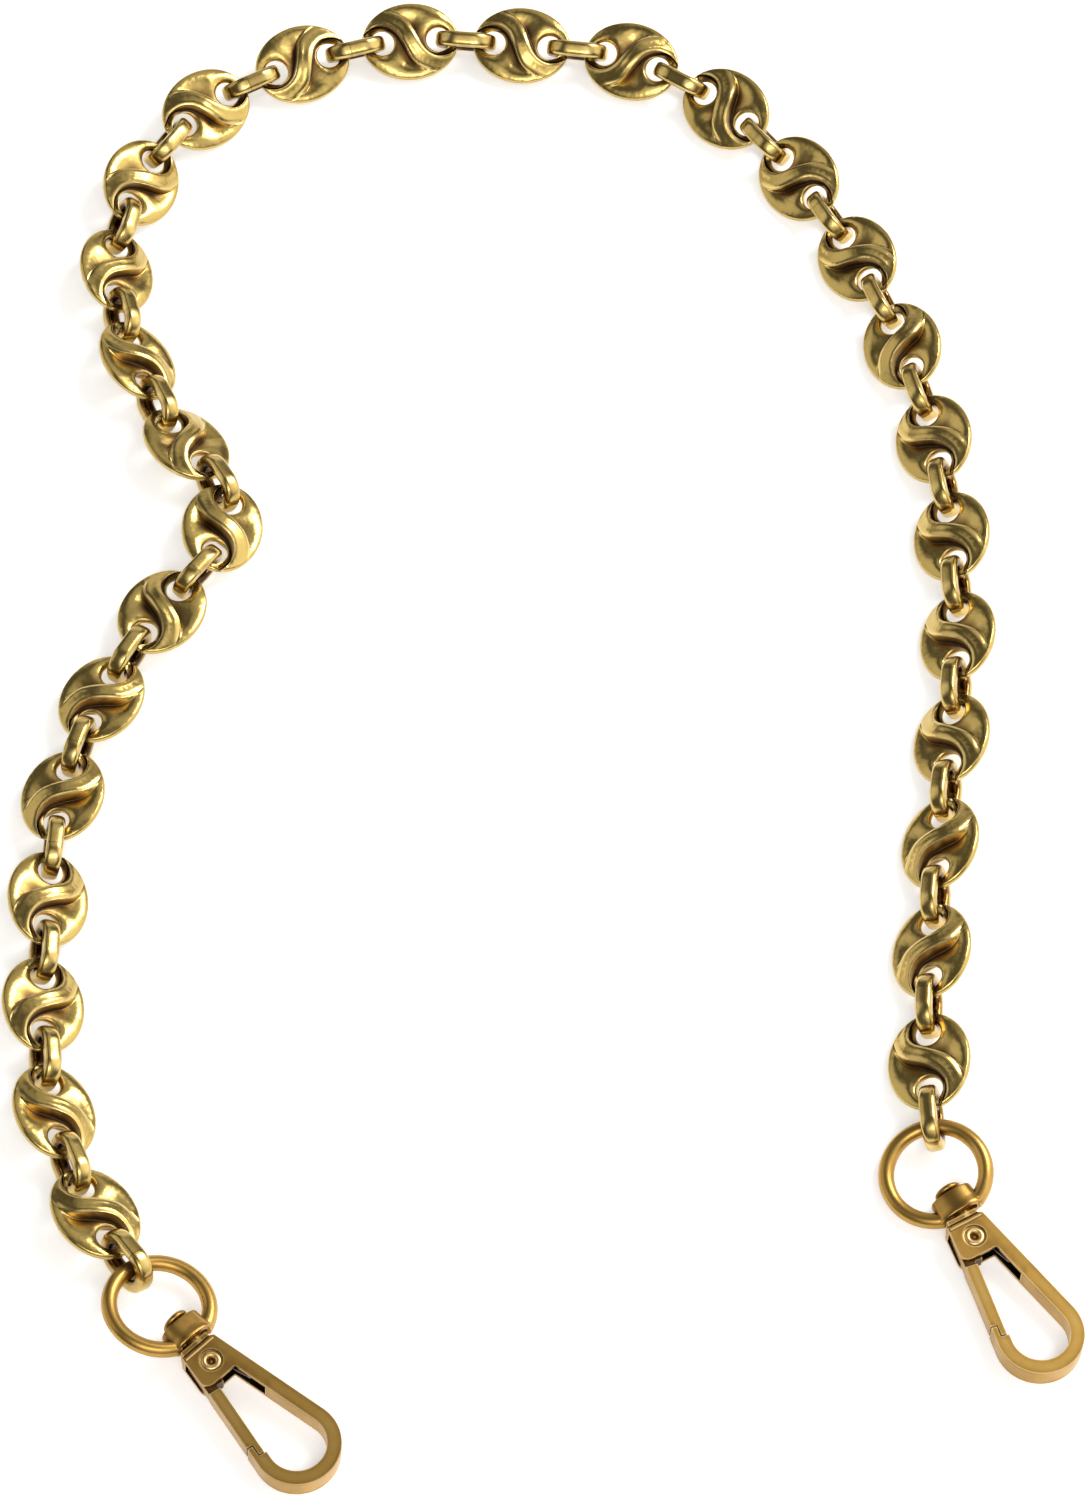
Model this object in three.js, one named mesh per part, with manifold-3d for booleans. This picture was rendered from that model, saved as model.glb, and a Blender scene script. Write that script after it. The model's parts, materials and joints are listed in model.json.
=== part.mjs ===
// Watch chain: 28 puffed links on 29 oval jump rings, with a swivel snap hook at each end.
// Millimetres, +Z up. The chain lies in a loop on a surface at z = 0.

import * as THREE from "three";
import { mergeVertices } from "three/addons/utils/BufferGeometryUtils.js";
import Module from "manifold-3d";

const wasm = await Module();
wasm.setup();

// ---- driving dimensions ----

// Puffed link: an oval lens with a thin rim, pierced by a hole near each end of its long axis.
const LINK_COUNT = 28;
const LINK_LENGTH = 17;
const LINK_WIDTH = 13.6;
const LINK_DOME = 2.8;
const LINK_SIDES = 12;
const RIM_HALF_THICKNESS = 0.45;
const DOME_SHOULDER = { reach: 0.55, height: 0.68 };
const DOME_SKIRT = { reach: 0.8, height: 0.28 };
const HOLE_RADIUS = 2.1;
const HOLE_SIDES = 8;
const RIM_BAR = 1.45;
const BAR_X = LINK_LENGTH / 2 - RIM_BAR / 2;
const HOLE_X = LINK_LENGTH / 2 - RIM_BAR - HOLE_RADIUS;

// Jump ring: an oval of flattened wire that stands on edge through two neighbouring holes. The
// chain lies slacker at its first end than at its last, so the play in the holes falls along it.
const WIRE_HALF_THICKNESS = 1.05;
const WIRE_HALF_WIDTH = 1.35;
const WIRE_CORNER = 0.55;
const RING_BEND = 3;
const RING_STRAIGHT = 1.35;
const RING_SPAN = 2 * (RING_BEND + RING_STRAIGHT);
const FIRST_PLAY = 0.72;
const LAST_PLAY = 0.34;
const EYE_PLAY = 0.5;
const JOINED_EVERY = 3;
const JOINED_BITE = 0.2;
const RING_STEPS = 10;

// The hooks' own origin is the middle of the gate's pin; the swivel's axis runs beside it.
const SWIVEL_Y = 0.9;

// Swivel eye: a round ring cast in one piece with a short barrel collar.
const EYE_RADIUS = 7.75;
const EYE_WIRE_RADIUS = 1.25;
const EYE_CENTRE_X = -12.6;
const COLLAR_BACK_X = -8.4;
const COLLAR_FRONT_X = -4.7;
const COLLAR_HALF_WIDTH = 3.6;
const COLLAR_HALF_HEIGHT = 2.4;
const COLLAR_CHAMFER = 0.5;
const COLLAR_BORE = 1.55;
const EYE_TO_COLLAR = 0.8;
const EYE_STEPS = 16;
const BARREL_SIDES = 12;
const BORE_SIDES = 10;

// Swivel post: a headed rivet whose shank passes through the collar into the hook body.
const POST_RADIUS = 1.3;
const POST_HEAD_RADIUS = 2.3;
const POST_HEAD_X = -9.6;
const POST_HEAD_UNDER_X = -8.6;
const POST_HEAD_FACE = 0.7;
const POST_HEAD_CROWN = 0.4;
const POST_END_X = -2.7;

// Snap hook: flat body from a housing with two cheeks, along one arm, round a loop to a nose.
const HOOK_HALF_THICKNESS = 1.95;
const SHOULDER_X = -3.3;
const SHOULDER_LOW_Y = -3;
const SHOULDER_CHAMFER = 0.5;
const NECK_X = -4.1;
const NECK_HALF_THICKNESS = 1.65;
const NECK_HALF_WIDTH = 2.55;
const NECK_Y = 0.05;
const POST_BORE = 1.4;
const LOOP_X = 18.7;
const LOOP_Y = 0.2;
const LOOP_OUTER_RADIUS = 6.8;
const LOOP_INNER_RADIUS = 4.6;
const ARM_ANGLE = 10.3;
const CHEEK_END_X = 3.1;
const CHEEK_SIDE_Y = -3.75;
const CHEEK_CORNER_RADIUS = 1.4;
const CHANNEL_HALF_HEIGHT = 1.35;
const CHANNEL_BACK_X = -2.4;
const RECESS_END_X = 8.7;
const RECESS_DEPTH = 1.1;

// Gate: a sprung bar on a pin through the cheeks, with a lip that closes inside the nose. These
// sizes are in the gate's own frame, whose +X runs from the pin along the closed gate.
const GATE_REST_ANGLE = -10.5;
const GATE_OUTER_Y = -3.15;
const GATE_INNER_Y = -1.2;
const GATE_HALF_THICKNESS = 1.6;
const GATE_ROOT_RADIUS = 2.05;
const GATE_EAR_OUTER = 1.2;
const GATE_EAR_INNER = 0.65;
const GATE_SPINE_START = -1.6;
const GATE_SPINE_INNER_Y = -2.1;
const GATE_THICK_FROM = 4.4;
const GATE_SLOT_END = 3;
const GATE_END = 15;
const GATE_LIP_END = 16.8;
const GATE_LIP_WIDTH = 0.9;
const NOSE_START = 15.3;
const NOSE_STEP = 17.1;
const NOSE_TONGUE = 0.85;
const PIN_RADIUS = 0.8;
const PIN_BORE = 0.9;
const PIN_HEAD_RADIUS = 1.65;
const PIN_HEAD_THICKNESS = 0.25;
const PIN_HEAD_GAP = 0.05;
const PIN_HOLLOW_RADIUS = 0.5;
const PIN_HOLLOW_DEPTH = 0.9;
const COUNTERBORE_RADIUS = 1.95;
const COUNTERBORE_DEPTH = 0.3;
const SPRING_WIRE_RADIUS = 0.16;
const SPRING_COIL_RADIUS = 1.3;
const SPRING_TURNS = 2;
const SPRING_RISE = 0.42;
const SPRING_START_ANGLE = ARM_ANGLE + 97;
const SPRING_EXTRA_TURN = 150;
const SPRING_LEG_SHARE = 0.22;
const SPRING_BODY_LEG = 6.2;
const SPRING_GATE_LEG = 1.2;
const SPRING_STEPS = 28;

// How the chain lies: the route of its centre line, the height of that line, and how far each
// link and ring leans in towards the middle of the loop, all counted from the first hook.
const CHAIN_HEIGHT = 4.3;
const ROUTE = [
  [-61.5, -98.5], [-68.7, -88.7], [-76.7, -69.6], [-79.2, -50.5], [-79.3, -31], [-77.9, -10.9],
  [-71.9, 8.4], [-62.9, 24.6], [-52.7, 40], [-53.7, 49.8], [-60.4, 56.8], [-68.9, 74.1],
  [-73.8, 93.9], [-70.3, 112.6], [-59.7, 129.1], [-42.9, 139], [-23.9, 144.4], [-4.4, 143.1],
  [14.9, 140.1], [31.1, 129.8], [43.4, 114.6], [53, 97.5], [60.3, 79], [65.1, 59.5],
  [67.4, 40], [67.8, 20], [66, 0], [63.3, -20], [61.2, -40], [60, -59.5], [60.5, -80],
];
const LINK_LEAN = [
  18, 24, 22, 24, -6, -4, 2, 16, 18, 28, 28, 32, 26, 28, 28, 24, 28, 26, 30, 26, 24, 27, 27, 29,
  29, 28, 27, 22,
];
const FIRST_RING_EXTRA_LEAN = 2;
const LAST_RING_EXTRA_LEAN = -6;

// Each hook: its heading on the surface, how far round the eye the end ring sits, and how far the
// eye is turned on its swivel.
const FIRST_HOOK = { suffix: "a", heading: -45.5, ringAngle: 11, eyeTurn: -12 };
const LAST_HOOK = { suffix: "b", heading: -60.5, ringAngle: 28, eyeTurn: 12 };
const HOOK_REST_HEIGHT = 2;

// ---- materials ----

const brass = (color, roughness) =>
  new THREE.MeshStandardMaterial({ color, roughness, metalness: 1 });
const POLISHED_BRASS = brass(0xb08d3c, 0.34);
const SATIN_BRASS = brass(0xa3742f, 0.46);
const SPRING_STEEL = brass(0x8d8a82, 0.4);

// ---- solids ----

function solid(geometry) {
  const bare = geometry.clone();
  bare.deleteAttribute("normal");
  bare.deleteAttribute("uv");
  const merged = mergeVertices(bare, 1e-4);
  const mesh = new wasm.Mesh({
    numProp: 3,
    vertProperties: new Float32Array(merged.attributes.position.array),
    triVerts: new Uint32Array(merged.index.array),
  });
  return new wasm.Manifold(mesh);
}

function geometryOf(body) {
  const mesh = body.getMesh();
  const positions = new Float32Array(mesh.numVert * 3);
  for (let i = 0; i < mesh.numVert; i++) {
    const from = i * mesh.numProp;
    positions.set(mesh.vertProperties.subarray(from, from + 3), i * 3);
  }
  const geometry = new THREE.BufferGeometry();
  geometry.setAttribute("position", new THREE.BufferAttribute(positions, 3));
  geometry.setIndex(new THREE.BufferAttribute(new Uint32Array(mesh.triVerts), 1));
  geometry.computeVertexNormals();
  return geometry;
}

// A solid turned about +Z from a closed half profile of [radius, height] points.
function turned(profile, sides) {
  const points = profile.map(([radius, height]) => new THREE.Vector2(radius, height));
  return new THREE.LatheGeometry(points, sides).rotateX(Math.PI / 2);
}

// The same, about +X.
function turnedOnX(profile, sides) {
  return turned(profile, sides).rotateY(Math.PI / 2);
}

function boreOnX(radius, from, to) {
  return turnedOnX([[0, from], [radius, from], [radius, to], [0, to]], BORE_SIDES);
}

function rod(radius, from, to, sides) {
  return turned([[0, from], [radius, from], [radius, to], [0, to]], sides);
}

// A flat outline given a thickness from one height to another.
function slab(shape, from, to, curveSegments = 12) {
  const options = { depth: to - from, bevelEnabled: false, curveSegments };
  return new THREE.ExtrudeGeometry(shape, options).translate(0, 0, from);
}

function outline(points) {
  return new THREE.Shape(points.map(([x, y]) => new THREE.Vector2(x, y)));
}

const radians = THREE.MathUtils.degToRad;

// ---- puffed link ----

function linkSolid() {
  const half = [
    [DOME_SHOULDER.reach, DOME_SHOULDER.height * LINK_DOME],
    [DOME_SKIRT.reach, DOME_SKIRT.height * LINK_DOME],
    [1, RIM_HALF_THICKNESS],
  ];
  const below = half.map(([radius, height]) => [radius, -height]);
  const profile = [[0, -LINK_DOME], ...below, ...half.toReversed(), [0, LINK_DOME]];
  let body = solid(turned(profile, LINK_SIDES).scale(LINK_LENGTH / 2, LINK_WIDTH / 2, 1));
  const corner = HOLE_RADIUS / Math.cos(Math.PI / HOLE_SIDES);
  for (const side of [-1, 1]) {
    const hole = rod(corner, -LINK_DOME - 1, LINK_DOME + 1, HOLE_SIDES);
    hole.rotateZ(Math.PI / HOLE_SIDES).translate(side * HOLE_X, 0, 0);
    body = body.subtract(solid(hole));
  }
  return body;
}

// ---- jump ring ----

// A round ring in the XZ plane, pulled apart along X into an oval with straight arms.
function ringGeometry() {
  const [thick, wide, corner] = [WIRE_HALF_THICKNESS, WIRE_HALF_WIDTH, WIRE_CORNER];
  const section = [
    [-thick, corner - wide],
    [corner - thick, -wide],
    [thick - corner, -wide],
    [thick, corner - wide],
    [thick, wide - corner],
    [thick - corner, wide],
    [corner - thick, wide],
    [-thick, wide - corner],
    [-thick, corner - wide],
  ];
  const ring = turned(section.map(([out, across]) => [RING_BEND + out, across]), RING_STEPS);
  ring.rotateZ(Math.PI / 2).rotateX(Math.PI / 2);
  const position = ring.attributes.position;
  for (let i = 0; i < position.count; i++) {
    position.setX(i, position.getX(i) + Math.sign(position.getX(i)) * RING_STRAIGHT);
  }
  return ring;
}

// ---- swivel eye ----

// An arc of the eye in the XY plane, from one side of the collar round to the other.
class EyeArc extends THREE.Curve {
  getPoint(t, target = new THREE.Vector3()) {
    const start = Math.asin((COLLAR_HALF_WIDTH - EYE_TO_COLLAR) / EYE_RADIUS);
    const angle = start + t * (2 * Math.PI - 2 * start);
    return target.set(
      EYE_CENTRE_X + EYE_RADIUS * Math.cos(angle),
      EYE_RADIUS * Math.sin(angle),
      0,
    );
  }
}

function eyeGeometry() {
  const wire = new THREE.Shape().absarc(0, 0, EYE_WIRE_RADIUS, 0, 2 * Math.PI);
  const options = {
    steps: EYE_STEPS,
    curveSegments: 3,
    bevelEnabled: false,
    extrudePath: new EyeArc(),
  };
  const arc = solid(new THREE.ExtrudeGeometry(wire, options));
  const barrel = [
    [0, COLLAR_BACK_X],
    [1 - COLLAR_CHAMFER / COLLAR_HALF_WIDTH, COLLAR_BACK_X],
    [1, COLLAR_BACK_X + COLLAR_CHAMFER],
    [1, COLLAR_FRONT_X],
    [0, COLLAR_FRONT_X],
  ];
  const collar = turnedOnX(barrel, BARREL_SIDES).scale(1, COLLAR_HALF_WIDTH, COLLAR_HALF_HEIGHT);
  const bore = boreOnX(COLLAR_BORE, COLLAR_BACK_X - 1, COLLAR_FRONT_X + 1);
  return geometryOf(arc.add(solid(collar)).subtract(solid(bore)));
}

// ---- swivel post ----

function postGeometry() {
  const profile = [
    [0, POST_HEAD_X],
    [POST_HEAD_FACE * POST_HEAD_RADIUS, POST_HEAD_X],
    [POST_HEAD_RADIUS, POST_HEAD_X + POST_HEAD_CROWN],
    [POST_HEAD_RADIUS, POST_HEAD_UNDER_X],
    [POST_RADIUS, POST_HEAD_UNDER_X],
    [POST_RADIUS, POST_END_X],
    [0, POST_END_X],
  ];
  return turnedOnX(profile, BORE_SIDES).translate(0, SWIVEL_Y, 0);
}

// ---- hook body ----

// The arm's edges touch the loop's circles, and run back to the shoulder.
function armY(x, radius) {
  const height = radius / Math.cos(radians(ARM_ANGLE));
  return LOOP_Y + height - (LOOP_X - x) * Math.tan(radians(ARM_ANGLE));
}

// A point of the closed gate's own frame, in the hook's frame.
function onGate(x, y) {
  return new THREE.Vector2(x, y).rotateAround(new THREE.Vector2(), radians(GATE_REST_ANGLE));
}

// The nose carries on from the loop in a straight line, flush with the closed gate.
function nosePoints() {
  const below = radians(GATE_REST_ANGLE);
  const middle = LOOP_Y * Math.cos(below) - LOOP_X * Math.sin(below);
  const [outer, inner] = [middle - LOOP_OUTER_RADIUS, middle - LOOP_INNER_RADIUS];
  return [
    onGate(NOSE_STEP, inner),
    onGate(NOSE_STEP, outer + NOSE_TONGUE),
    onGate(NOSE_START, outer + NOSE_TONGUE),
    onGate(NOSE_START, outer),
  ];
}

function hookOutline() {
  const armTangent = radians(90 + ARM_ANGLE);
  const noseTangent = radians(GATE_REST_ANGLE - 90);
  const shape = new THREE.Shape();
  shape.moveTo(SHOULDER_X, SHOULDER_LOW_Y);
  shape.lineTo(CHEEK_END_X - CHEEK_CORNER_RADIUS, CHEEK_SIDE_Y);
  shape.absarc(
    CHEEK_END_X - CHEEK_CORNER_RADIUS,
    CHEEK_SIDE_Y + CHEEK_CORNER_RADIUS,
    CHEEK_CORNER_RADIUS,
    -Math.PI / 2,
    0,
  );
  shape.lineTo(CHEEK_END_X, armY(CHEEK_END_X, LOOP_INNER_RADIUS));
  shape.absarc(LOOP_X, LOOP_Y, LOOP_INNER_RADIUS, armTangent, noseTangent, true);
  for (const point of nosePoints()) shape.lineTo(point.x, point.y);
  shape.absarc(LOOP_X, LOOP_Y, LOOP_OUTER_RADIUS, noseTangent, armTangent, false);
  const corner = SHOULDER_X + SHOULDER_CHAMFER;
  shape.lineTo(corner, armY(corner, LOOP_OUTER_RADIUS));
  shape.lineTo(SHOULDER_X, armY(SHOULDER_X, LOOP_OUTER_RADIUS) - SHOULDER_CHAMFER);
  shape.closePath();
  return shape;
}

// The space between the cheeks, open to the gate's side, and the recess along the arm.
function channelOutline() {
  return outline([
    [CHANNEL_BACK_X, CHEEK_SIDE_Y - 1],
    [RECESS_END_X, CHEEK_SIDE_Y - 1],
    [RECESS_END_X, armY(RECESS_END_X, LOOP_INNER_RADIUS + RECESS_DEPTH)],
    [CHANNEL_BACK_X, armY(CHANNEL_BACK_X, LOOP_INNER_RADIUS + RECESS_DEPTH)],
  ]);
}

function hookGeometry() {
  let body = solid(slab(hookOutline(), -HOOK_HALF_THICKNESS, HOOK_HALF_THICKNESS, 8));
  const neckLength = CHANNEL_BACK_X - NECK_X;
  const neck = new THREE.BoxGeometry(neckLength, 2 * NECK_HALF_WIDTH, 2 * NECK_HALF_THICKNESS);
  body = body.add(solid(neck.translate(NECK_X + neckLength / 2, NECK_Y, 0)));
  body = body.subtract(
    solid(slab(channelOutline(), -CHANNEL_HALF_HEIGHT, CHANNEL_HALF_HEIGHT)),
  );
  body = body.subtract(solid(pinBore()));
  const floor = HOOK_HALF_THICKNESS - COUNTERBORE_DEPTH;
  const counterbore = rod(COUNTERBORE_RADIUS, floor, HOOK_HALF_THICKNESS + 1, BORE_SIDES);
  body = body.subtract(solid(counterbore));
  body = body.subtract(solid(counterbore.clone().rotateX(Math.PI)));
  const bore = boreOnX(POST_BORE, NECK_X - 1, 0).translate(0, SWIVEL_Y, 0);
  return geometryOf(body.subtract(solid(bore)));
}

// ---- gate, its pin and its spring ----

function pinBore() {
  return rod(PIN_BORE, -HOOK_HALF_THICKNESS - 1, HOOK_HALF_THICKNESS + 1, BORE_SIDES);
}

// A box between two corners.
function cuboid(low, high) {
  const size = high.map((value, i) => value - low[i]);
  const middle = high.map((value, i) => (value + low[i]) / 2);
  return new THREE.BoxGeometry(...size).translate(...middle);
}

// The gate in its own frame, before it is turned to its rest angle: two ears round the pin, a
// spine between the cheeks, and the bar with its lip.
function gateGeometry() {
  const root = rod(GATE_ROOT_RADIUS, -GATE_EAR_OUTER, GATE_EAR_OUTER, BARREL_SIDES);
  const stemEnd = GATE_THICK_FROM + 0.5;
  const spine = cuboid(
    [GATE_SPINE_START, GATE_OUTER_Y, -GATE_EAR_OUTER],
    [stemEnd, GATE_SPINE_INNER_Y + 0.1, GATE_EAR_OUTER],
  );
  const stem = cuboid([0, GATE_SPINE_INNER_Y, -GATE_EAR_OUTER], [stemEnd, 0, GATE_EAR_OUTER]);
  const bar = slab(
    outline([
      [GATE_THICK_FROM, GATE_OUTER_Y],
      [GATE_END, GATE_OUTER_Y],
      [GATE_END, GATE_INNER_Y - GATE_LIP_WIDTH],
      [GATE_LIP_END, GATE_INNER_Y - GATE_LIP_WIDTH],
      [GATE_LIP_END, GATE_INNER_Y],
      [GATE_THICK_FROM, GATE_INNER_Y],
    ]),
    -GATE_HALF_THICKNESS,
    GATE_HALF_THICKNESS,
  );
  const slot = cuboid(
    [-GATE_SLOT_END, GATE_SPINE_INNER_Y, -GATE_EAR_INNER],
    [GATE_SLOT_END, GATE_SLOT_END, GATE_EAR_INNER],
  );
  const ears = solid(root).add(solid(spine)).add(solid(stem)).subtract(solid(slot));
  return geometryOf(ears.add(solid(bar)).subtract(solid(pinBore())));
}

// A semi-tubular rivet: two flat heads in the counterbores and a hollow in the upper one.
function pinGeometry() {
  const under = HOOK_HALF_THICKNESS - COUNTERBORE_DEPTH + PIN_HEAD_GAP;
  const top = under + PIN_HEAD_THICKNESS;
  const profile = [
    [0, -top],
    [PIN_HEAD_RADIUS, -top],
    [PIN_HEAD_RADIUS, -under],
    [PIN_RADIUS, -under],
    [PIN_RADIUS, under],
    [PIN_HEAD_RADIUS, under],
    [PIN_HEAD_RADIUS, top],
    [PIN_HOLLOW_RADIUS, top],
    [PIN_HOLLOW_RADIUS, top - PIN_HOLLOW_DEPTH],
    [0, top - PIN_HOLLOW_DEPTH],
  ];
  return turned(profile, BORE_SIDES);
}

// A torsion spring: one leg lies in the arm's recess, two turns go round the pin, and the
// other leg lies in the gate's slot.
class SpringPath extends THREE.Curve {
  getPoint(t, target = new THREE.Vector3()) {
    const leg = SPRING_LEG_SHARE;
    const along = THREE.MathUtils.clamp((t - leg) / (1 - 2 * leg), 0, 1);
    const wound = along * (360 * SPRING_TURNS + SPRING_EXTRA_TURN);
    const angle = radians(SPRING_START_ANGLE - wound);
    const height = (along - 0.5) * SPRING_RISE * SPRING_TURNS;
    const [c, s] = [Math.cos(angle), Math.sin(angle)];
    target.set(SPRING_COIL_RADIUS * c, SPRING_COIL_RADIUS * s, height);
    const bodyLeg = Math.max(1 - t / leg, 0) * SPRING_BODY_LEG;
    const gateLeg = Math.max((t - 1 + leg) / leg, 0) * SPRING_GATE_LEG;
    target.x += (bodyLeg + gateLeg) * s;
    target.y -= (bodyLeg + gateLeg) * c;
    return target;
  }
}

function springGeometry() {
  const wire = new THREE.Shape().absarc(0, 0, SPRING_WIRE_RADIUS, 0, 2 * Math.PI);
  const options = {
    steps: SPRING_STEPS,
    curveSegments: 2,
    bevelEnabled: false,
    extrudePath: new SpringPath(),
  };
  return new THREE.ExtrudeGeometry(wire, options);
}

// ---- how the chain lies ----

function between(first, last, number, count) {
  return first + ((last - first) * (number - 1)) / (count - 1);
}

function playIn(number) {
  return between(FIRST_PLAY, LAST_PLAY, number, LINK_COUNT);
}

// The distance between the two ring wires that hold a link.
function linkSpan(number) {
  return 2 * (BAR_X - RIM_BAR / 2 - WIRE_HALF_THICKNESS - playIn(number));
}

// Points along the route, alternately a ring's span and a link's span apart: each is the centre
// of a ring's end wire, inside a link's hole.
function wireCentres(route) {
  const points = route.map(([x, y]) => new THREE.Vector3(x, y, CHAIN_HEIGHT));
  const curve = new THREE.CatmullRomCurve3(points, false, "centripetal");
  curve.arcLengthDivisions = 2000;
  const total = curve.getLength();
  const centres = [curve.getPointAt(0)];
  let along = 0;
  for (let i = 0; i <= 2 * LINK_COUNT; i++) {
    const span = i % 2 === 0 ? RING_SPAN : linkSpan((i + 1) / 2);
    const last = centres[centres.length - 1];
    let step = span;
    let next = last;
    for (let round = 0; round < 8; round++) {
      next = curve.getPointAt(Math.min((along + step) / total, 1));
      step *= span / next.distanceTo(last);
    }
    along += step;
    centres.push(last.clone().add(next.sub(last).setLength(span)));
  }
  return centres;
}

// Lays a mesh between two points, with its local X along them and its top leaning inwards.
function lay(mesh, from, to, lean) {
  const heading = Math.atan2(to.y - from.y, to.x - from.x);
  mesh.position.copy(from).add(to).multiplyScalar(0.5);
  mesh.rotation.set(radians(lean), 0, heading, "ZYX");
}

function ringLean(number) {
  const before = LINK_LEAN[Math.max(number - 2, 0)];
  const after = LINK_LEAN[Math.min(number - 1, LINK_COUNT - 1)];
  const extra = between(FIRST_RING_EXTRA_LEAN, LAST_RING_EXTRA_LEAN, number, LINK_COUNT + 1);
  return (before + after) / 2 + extra;
}

const numbered = (name, number) => name + "_" + String(number).padStart(2, "0");

function chain(centres) {
  const group = new THREE.Group();
  const link = linkSolid();
  const linkShape = geometryOf(link);
  const ringShape = ringGeometry();
  for (let number = 1; number <= LINK_COUNT + 1; number++) {
    const [start, end, next] = centres.slice(2 * number - 2, 2 * number + 1);
    const ring = new THREE.Mesh(ringShape, POLISHED_BRASS);
    const joined = number % JOINED_EVERY === 0 && number <= LINK_COUNT;
    lay(ring, start, end, joined ? LINK_LEAN[number - 1] : ringLean(number));
    if (!joined) {
      ring.name = numbered("jump_ring", number);
      group.add(ring);
    }
    if (number > LINK_COUNT) break;
    const puffed = new THREE.Mesh(linkShape, POLISHED_BRASS);
    lay(puffed, end, next, LINK_LEAN[number - 1]);
    puffed.name = numbered("puffed_link", number);
    if (joined) {
      puffed.name += "_with_ring";
      ring.translateX(-playIn(number) - JOINED_BITE);
      puffed.geometry = geometryOf(link.add(solid(ringIn(puffed, ring))));
    }
    group.add(puffed);
  }
  return group;
}

// A joined ring's geometry in its link's own frame.
function ringIn(puffed, ring) {
  ring.updateMatrix();
  puffed.updateMatrix();
  const matrix = puffed.matrix.clone().invert().multiply(ring.matrix);
  return ring.geometry.clone().applyMatrix4(matrix);
}

// ---- hooks ----

function swivelHook({ suffix, heading, ringAngle, eyeTurn }, ringWire, ringDirection) {
  const group = new THREE.Group();
  const eye = eyeGeometry().rotateX(radians(eyeTurn)).translate(0, SWIVEL_Y, 0);
  const pieces = [
    ["swivel_eye", eye, SATIN_BRASS],
    ["swivel_post", postGeometry(), SATIN_BRASS],
    ["hook_body", hookGeometry(), SATIN_BRASS],
    ["hook_gate", gateGeometry().rotateZ(radians(GATE_REST_ANGLE)), SATIN_BRASS],
    ["gate_pin", pinGeometry(), SATIN_BRASS],
    ["gate_spring", springGeometry(), SPRING_STEEL],
  ];
  for (const [name, geometry, material] of pieces) {
    const mesh = new THREE.Mesh(geometry, material);
    mesh.name = name + "_" + suffix;
    group.add(mesh);
  }
  const touch = new THREE.Vector3(-EYE_RADIUS, 0, 0)
    .applyEuler(new THREE.Euler(radians(eyeTurn), 0, -radians(ringAngle)))
    .add(new THREE.Vector3(EYE_CENTRE_X, SWIVEL_Y, 0));
  const reach = LOOP_X + LOOP_OUTER_RADIUS - touch.x;
  const slope = Math.asin((CHAIN_HEIGHT - touch.z - HOOK_REST_HEIGHT) / reach);
  group.rotation.set(0, slope, radians(heading), "ZYX");
  const inside = EYE_PLAY + WIRE_HALF_THICKNESS + EYE_WIRE_RADIUS;
  const contact = ringWire.clone().addScaledVector(ringDirection, -inside);
  group.position.copy(contact).sub(touch.applyEuler(group.rotation));
  return group;
}

const centres = wireCentres(ROUTE);
const [firstWire, secondWire] = centres;
const [lastButOne, lastWire] = centres.slice(-2);
const firstDirection = firstWire.clone().sub(secondWire).normalize();
const lastDirection = lastWire.clone().sub(lastButOne).normalize();

const model = new THREE.Group();
model.add(chain(centres));
model.add(swivelHook(FIRST_HOOK, firstWire, firstDirection));
model.add(swivelHook(LAST_HOOK, lastWire, lastDirection));

// The origin is the middle of the underside of the whole object's box.
model.updateMatrixWorld(true);
const box = new THREE.Box3().setFromObject(model, true);
model.position.set(-(box.min.x + box.max.x) / 2, -(box.min.y + box.max.y) / 2, -box.min.z);

const part = new THREE.Group();
part.add(model);
export default part;
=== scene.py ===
import json
import math
import random

import bpy
import numpy as np
from mathutils import Matrix, Vector
from mathutils.geometry import delaunay_2d_cdt


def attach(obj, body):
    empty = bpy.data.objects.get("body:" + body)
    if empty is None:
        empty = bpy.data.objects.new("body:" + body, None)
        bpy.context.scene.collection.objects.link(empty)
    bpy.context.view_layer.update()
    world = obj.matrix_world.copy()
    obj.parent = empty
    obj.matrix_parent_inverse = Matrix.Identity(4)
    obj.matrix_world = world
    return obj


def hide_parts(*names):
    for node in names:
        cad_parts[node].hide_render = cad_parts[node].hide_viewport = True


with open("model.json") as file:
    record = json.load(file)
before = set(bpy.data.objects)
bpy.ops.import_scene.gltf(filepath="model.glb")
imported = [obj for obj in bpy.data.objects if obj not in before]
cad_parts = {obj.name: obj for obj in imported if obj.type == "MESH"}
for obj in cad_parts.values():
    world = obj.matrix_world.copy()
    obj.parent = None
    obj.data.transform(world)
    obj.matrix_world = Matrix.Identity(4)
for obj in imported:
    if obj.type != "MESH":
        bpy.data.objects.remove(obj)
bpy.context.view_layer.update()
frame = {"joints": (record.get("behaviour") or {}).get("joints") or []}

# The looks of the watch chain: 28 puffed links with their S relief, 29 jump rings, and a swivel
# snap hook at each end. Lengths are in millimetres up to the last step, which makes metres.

random.seed(7)

MM = 0.001
UP = Vector((0, 0, 1))
JOINTS = {joint["name"]: joint for joint in frame["joints"]}

# ---- sizes shared with the CAD model ----

LINK_COUNT = 28
LINK_HALF_LENGTH = 8.5
LINK_HALF_WIDTH = 6.8
BAR_X = 7.775
BAR_TO_WIRE = 1.775
FIRST_PLAY = 0.72
LAST_PLAY = 0.34
HOLE_X = 4.95
HOLE_RADIUS = 2.1

WIRE_HALF_THICKNESS = 1.05
WIRE_HALF_WIDTH = 1.35
RING_BEND = 3.0
RING_STRAIGHT = 1.35
RING_SPAN = 8.7

# Degrees a ring leans beyond the mean of its two links, spread evenly along the chain.
RING_EXTRA_LEAN = [2, 3, 4, 5, 7, 4, -3, -6]

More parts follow.
